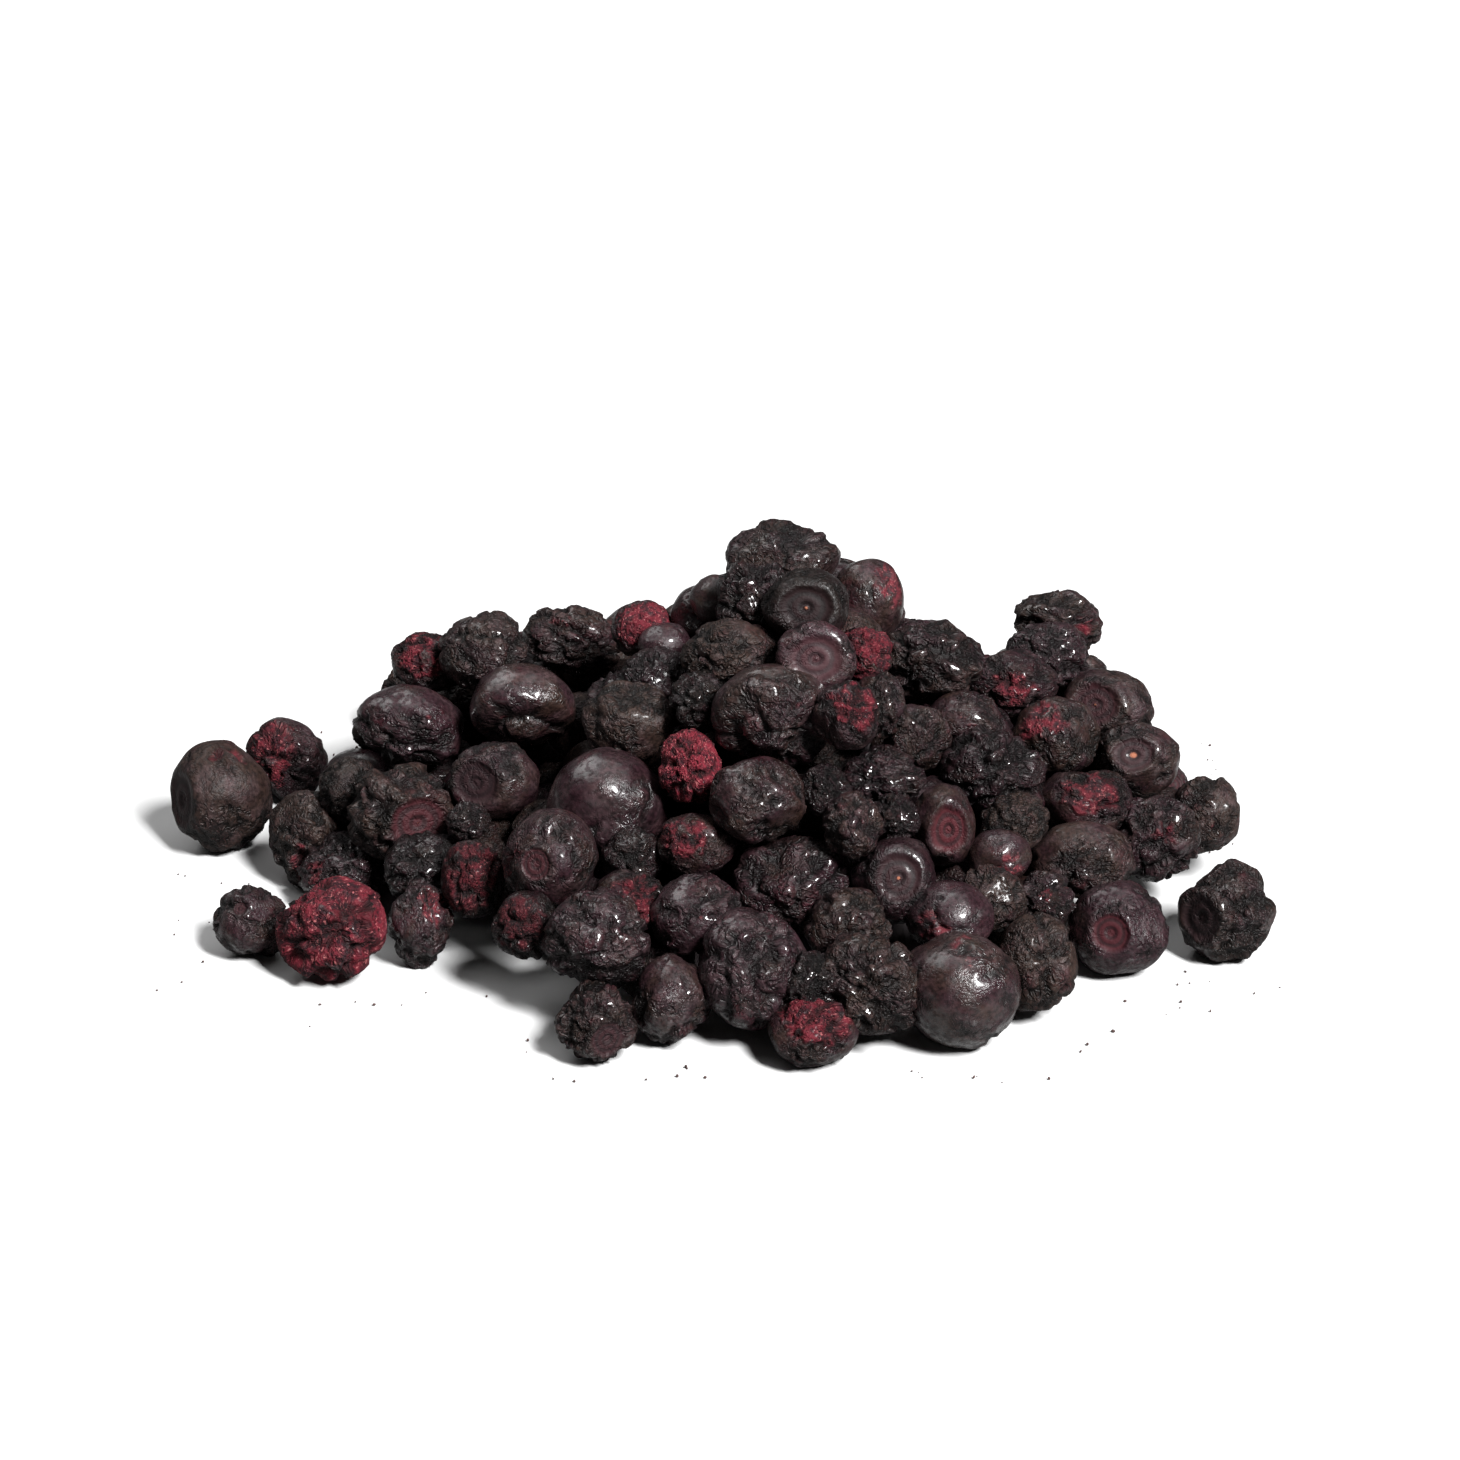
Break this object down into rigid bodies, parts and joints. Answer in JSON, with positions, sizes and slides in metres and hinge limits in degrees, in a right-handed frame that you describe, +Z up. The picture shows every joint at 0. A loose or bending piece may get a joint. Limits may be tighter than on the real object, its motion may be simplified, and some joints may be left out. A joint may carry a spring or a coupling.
{
  "type": "freeze-dried wild blueberry",
  "caption": "Loose heap of freeze-dried wild blueberries with strays round its foot: smooth, wrinkled and torn berries, some with ringed crowns, some showing red flesh.",
  "frame": {"origin": "middle of the whole spread on the surface it lies on", "axes": "+Z up, +X to the right of the pictured side along the widest spread, the pictured side faces -Y"},
  "size_m": [0.0994, 0.085, 0.0335],
  "materials": {
    "skin": "dried berry skin, satin on the smooth ones and dull on the wrinkled ones",
    "torn_skin": "dried berry skin torn open over dry crimson flesh"
  },
  "bodies": {
    "root": {"heap": "skin", "berry_left": "skin", "berry_left_rear": "torn_skin", "berry_left_front": "skin", "berry_front_torn": "torn_skin", "berry_front_small": "skin", "berry_front_crowned": "skin", "berry_front_middle": "skin", "berry_front_red": "torn_skin", "berry_front_large": "skin", "berry_front_right": "skin", "berry_right": "skin"}
  },
  "joints": []
}
